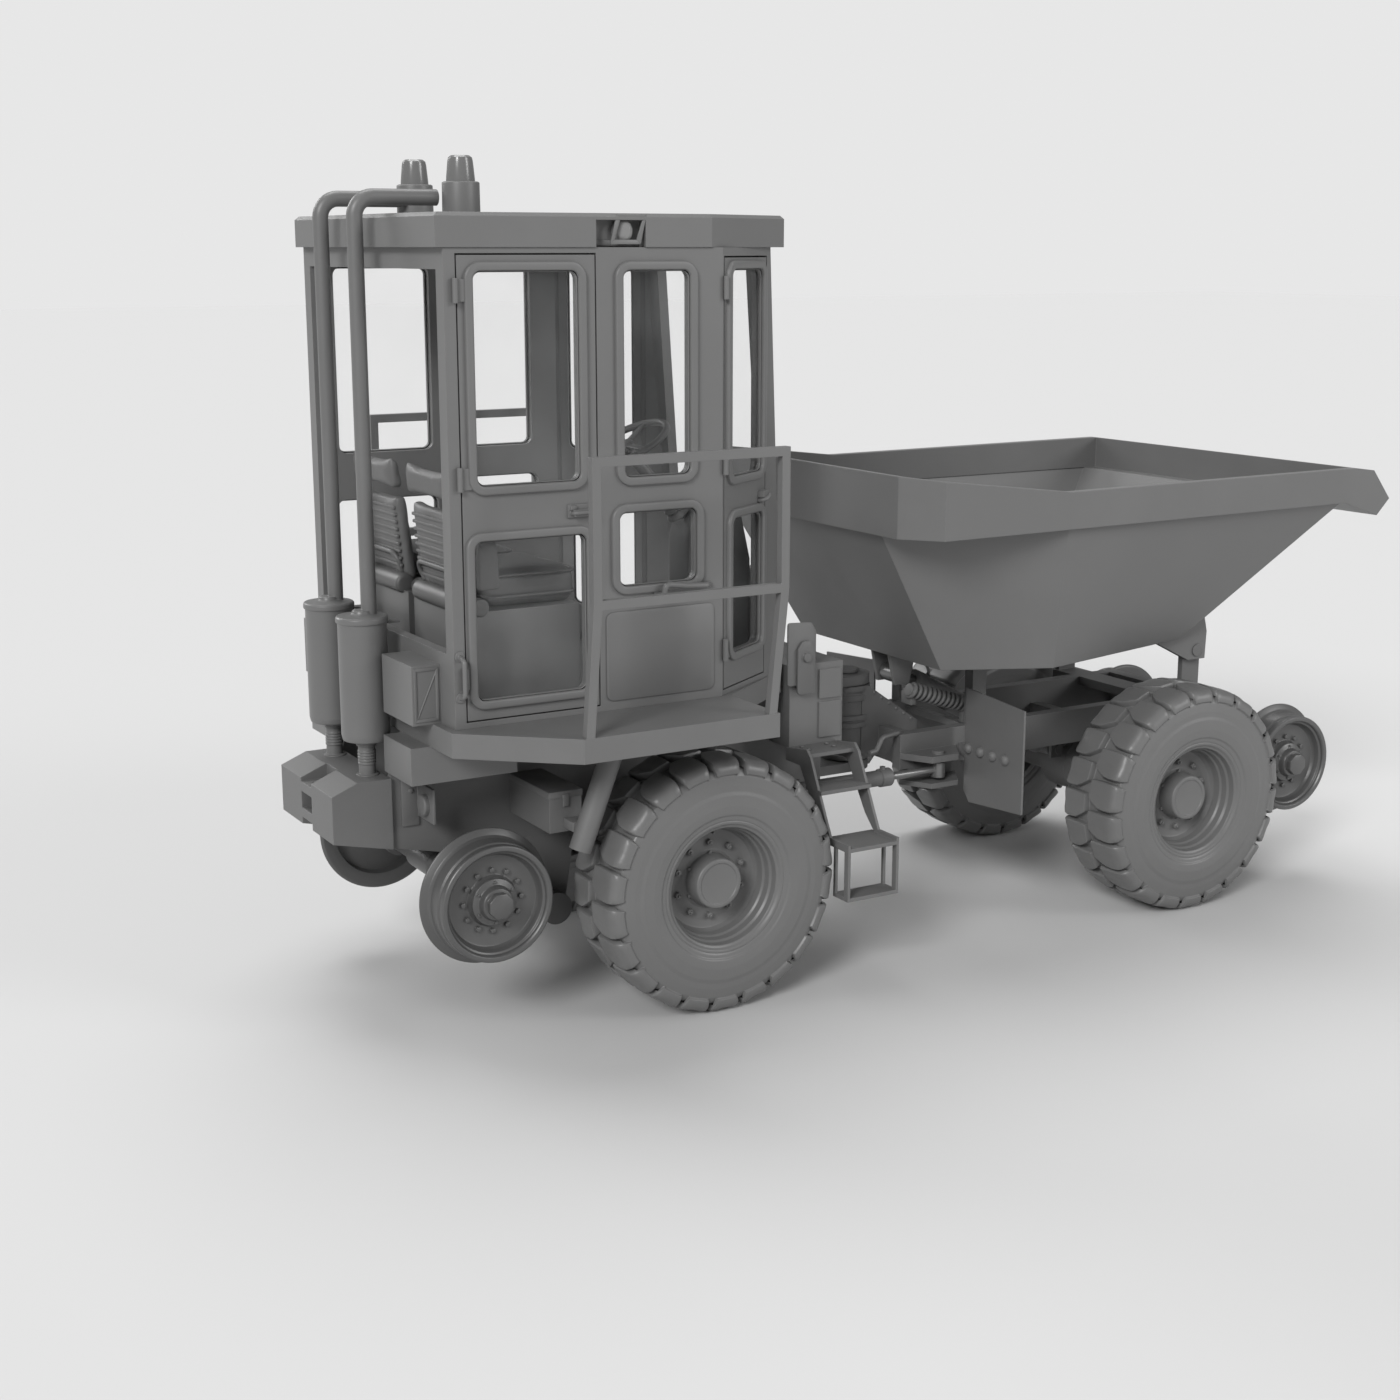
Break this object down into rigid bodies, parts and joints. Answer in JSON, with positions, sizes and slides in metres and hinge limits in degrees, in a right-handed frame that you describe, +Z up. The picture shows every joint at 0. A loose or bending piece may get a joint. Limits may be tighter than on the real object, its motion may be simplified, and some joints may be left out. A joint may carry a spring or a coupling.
{
  "type": "road-rail dump truck",
  "caption": "Articulated road and rail site dump truck with a glazed two-seat cab, a forward-tipping skip, steel rail wheels on swinging arms, deck handrails and steps.",
  "frame": {"origin": "on the ground under the middle of the overall box", "axes": "+X forward to the skip, +Y to the machine's left, +Z up"},
  "size_m": [5.164, 2.224, 3.438],
  "materials": {
    "body_paint": "satin grey paint",
    "chassis_paint": "satin grey paint, darker with road film",
    "skip_paint": "satin grey paint, scuffed inside",
    "wheel_paint": "satin grey paint",
    "tyre_rubber": "grey rubber",
    "rail_steel": "turned and cast steel",
    "deck_steel": "painted steel planks",
    "cast_metal": "painted casting",
    "exhaust_steel": "heat-proof grey paint",
    "rod_chrome": "polished rod",
    "seat_cover": "grey vinyl",
    "seat_shell": "grey ribbed vinyl",
    "black_plastic": "grained plastic",
    "beacon_plastic": "smoked lens",
    "lamp_lens": "work lamp",
    "glazing": "clear"
  },
  "bodies": {
    "rear_frame": {"rear_chassis": "chassis_paint", "tail_block": "cast_metal", "engine_block": "cast_metal", "hydraulic_tank": "body_paint", "deck": "deck_steel", "deck_props": "chassis_paint", "rear_boxes": "body_paint", "tool_boxes": "chassis_paint", "cab_frame": "body_paint", "cab_glass": "glazing", "cab_roof": "body_paint", "roof_lamps": "lamp_lens", "beacon_domes": "beacon_plastic", "exhausts": "exhaust_steel", "handrail_left": "body_paint", "handrail_right": "body_paint", "seat_bases": "body_paint", "seat_cushions": "seat_cover", "seat_backs": "seat_shell", "dash": "black_plastic", "steering_wheel": "black_plastic", "steps": "deck_steel", "rear_axle": "chassis_paint", "rear_rail_actuator": "chassis_paint"},
    "front_frame": {"front_chassis": "chassis_paint", "front_axle": "chassis_paint", "mud_plates": "chassis_paint", "hose_guard": "cast_metal", "front_rail_actuator": "chassis_paint"},
    "rear_rail_swing": {"rear_rail_arms": "chassis_paint"},
    "rear_rail_wheelset": {"rear_rail_axle": "rail_steel"},
    "front_rail_swing": {"front_rail_arms": "chassis_paint"},
    "front_rail_wheelset": {"front_rail_axle": "rail_steel"},
    "skip": {"skip": "skip_paint"},
    "tip_barrel": {"tip_barrel": "chassis_paint"},
    "tip_rod": {"tip_rod": "rod_chrome"},
    "road_wheel_rear_left": {"tyre_rear_left": "tyre_rubber", "wheel_rear_left": "wheel_paint"},
    "road_wheel_rear_right": {"tyre_rear_right": "tyre_rubber", "wheel_rear_right": "wheel_paint"},
    "road_wheel_front_left": {"tyre_front_left": "tyre_rubber", "wheel_front_left": "wheel_paint"},
    "road_wheel_front_right": {"tyre_front_right": "tyre_rubber", "wheel_front_right": "wheel_paint"},
    "side_door_left": {"side_door_left": "body_paint", "side_door_glass_left": "glazing"},
    "quarter_door_left": {"quarter_door_left": "body_paint", "quarter_door_glass_left": "glazing"},
    "steer_barrel_left": {"steer_barrel_left": "chassis_paint"},
    "steer_rod_left": {"steer_rod_left": "rod_chrome"},
    "side_door_right": {"side_door_right": "body_paint", "side_door_glass_right": "glazing"},
    "quarter_door_right": {"quarter_door_right": "body_paint", "quarter_door_glass_right": "glazing"},
    "steer_barrel_right": {"steer_barrel_right": "chassis_paint"},
    "steer_rod_right": {"steer_rod_right": "rod_chrome"}
  },
  "joints": [
    {"name": "articulation", "type": "hinge", "parent": "rear_frame", "child": "front_frame", "pos_m": [0.06, 0, 0.93], "axis": [0, 0, 1], "range_deg": [-32, 32]},
    {"name": "road_wheel_rear_left", "type": "hinge", "parent": "rear_frame", "child": "road_wheel_rear_left", "pos_m": [-1.125, 0.714, 0.54147], "axis": [0, 1, 0], "continuous": true},
    {"name": "road_wheel_rear_right", "type": "hinge", "parent": "rear_frame", "child": "road_wheel_rear_right", "pos_m": [-1.125, -0.714, 0.54147], "axis": [0, 1, 0], "continuous": true},
    {"name": "road_wheel_front_left", "type": "hinge", "parent": "front_frame", "child": "road_wheel_front_left", "pos_m": [1.475, 0.714, 0.54147], "axis": [0, 1, 0], "continuous": true},
    {"name": "road_wheel_front_right", "type": "hinge", "parent": "front_frame", "child": "road_wheel_front_right", "pos_m": [1.475, -0.714, 0.54147], "axis": [0, 1, 0], "continuous": true},
    {"name": "rear_rail_lowering", "type": "hinge", "parent": "rear_frame", "child": "rear_rail_swing", "pos_m": [-1.64, 0, 0.388], "axis": [0, -1, 0], "range_deg": [0, 47]},
    {"name": "rear_rail_spin", "type": "hinge", "parent": "rear_rail_swing", "child": "rear_rail_wheelset", "pos_m": [-2.057, 0, 0.572], "axis": [0, 1, 0], "continuous": true},
    {"name": "front_rail_lowering", "type": "hinge", "parent": "front_frame", "child": "front_rail_swing", "pos_m": [1.885, 0, 0.388], "axis": [0, 1, 0], "range_deg": [0, 47]},
    {"name": "front_rail_spin", "type": "hinge", "parent": "front_rail_swing", "child": "front_rail_wheelset", "pos_m": [2.302, 0, 0.572], "axis": [0, 1, 0], "continuous": true},
    {"name": "side_door_left", "type": "hinge", "parent": "rear_frame", "child": "side_door_left", "pos_m": [-2.197, 0.752, 2.2], "axis": [0, 0, 1], "range_deg": [0, 30]},
    {"name": "quarter_door_left", "type": "hinge", "parent": "rear_frame", "child": "quarter_door_left", "pos_m": [-1.0499, 0.74815, 2.2], "axis": [0, 0, 1], "range_deg": [0, 95]},
    {"name": "side_door_right", "type": "hinge", "parent": "rear_frame", "child": "side_door_right", "pos_m": [-2.197, -0.752, 2.2], "axis": [0, 0, -1], "range_deg": [0, 30]},
    {"name": "quarter_door_right", "type": "hinge", "parent": "rear_frame", "child": "quarter_door_right", "pos_m": [-1.0499, -0.74815, 2.2], "axis": [0, 0, -1], "range_deg": [0, 95]},
    {"name": "skip_tip", "type": "hinge", "parent": "front_frame", "child": "skip", "pos_m": [1.79, 0, 1.17], "axis": [0, 1, 0], "range_deg": [0, 50]},
    {"name": "tip_barrel_swing", "type": "hinge", "parent": "front_frame", "child": "tip_barrel", "pos_m": [1.3, 0, 0.64], "axis": [0, 1, 0], "range_deg": [-0.2, 48.87]},
    {"name": "tip_rod_slide", "type": "slide", "parent": "tip_barrel", "child": "tip_rod", "axis": [-0.8963, 0, 0.4435], "range_m": [-0.001, 0.613]},
    {"name": "steer_barrel_left_swing", "type": "hinge", "parent": "rear_frame", "child": "steer_barrel_left", "pos_m": [-0.56, 0.4, 0.745], "axis": [0, 0, 1], "range_deg": [-8.61, 8.61]},
    {"name": "steer_rod_left_slide", "type": "slide", "parent": "steer_barrel_left", "child": "steer_rod_left", "axis": [0.9999, 0.0116, 0], "range_m": [-0.2247, 0.2247]},
    {"name": "steer_barrel_right_swing", "type": "hinge", "parent": "rear_frame", "child": "steer_barrel_right", "pos_m": [-0.56, -0.4, 0.745], "axis": [0, 0, 1], "range_deg": [-8.61, 8.61]},
    {"name": "steer_rod_right_slide", "type": "slide", "parent": "steer_barrel_right", "child": "steer_rod_right", "axis": [0.9999, -0.0116, 0], "range_m": [-0.2247, 0.2247]}
  ],
  "couplings": [
    {"joint": "tip_barrel_swing", "follows": "skip_tip", "ratio": 0.97342},
    {"joint": "tip_rod_slide", "follows": "skip_tip", "m_per_rad": 0.70129},
    {"joint": "steer_barrel_left_swing", "follows": "articulation", "ratio": 0.26293},
    {"joint": "steer_rod_left_slide", "follows": "articulation", "m_per_rad": -0.39871},
    {"joint": "steer_barrel_right_swing", "follows": "articulation", "ratio": 0.26293},
    {"joint": "steer_rod_right_slide", "follows": "articulation", "m_per_rad": 0.39871}
  ]
}
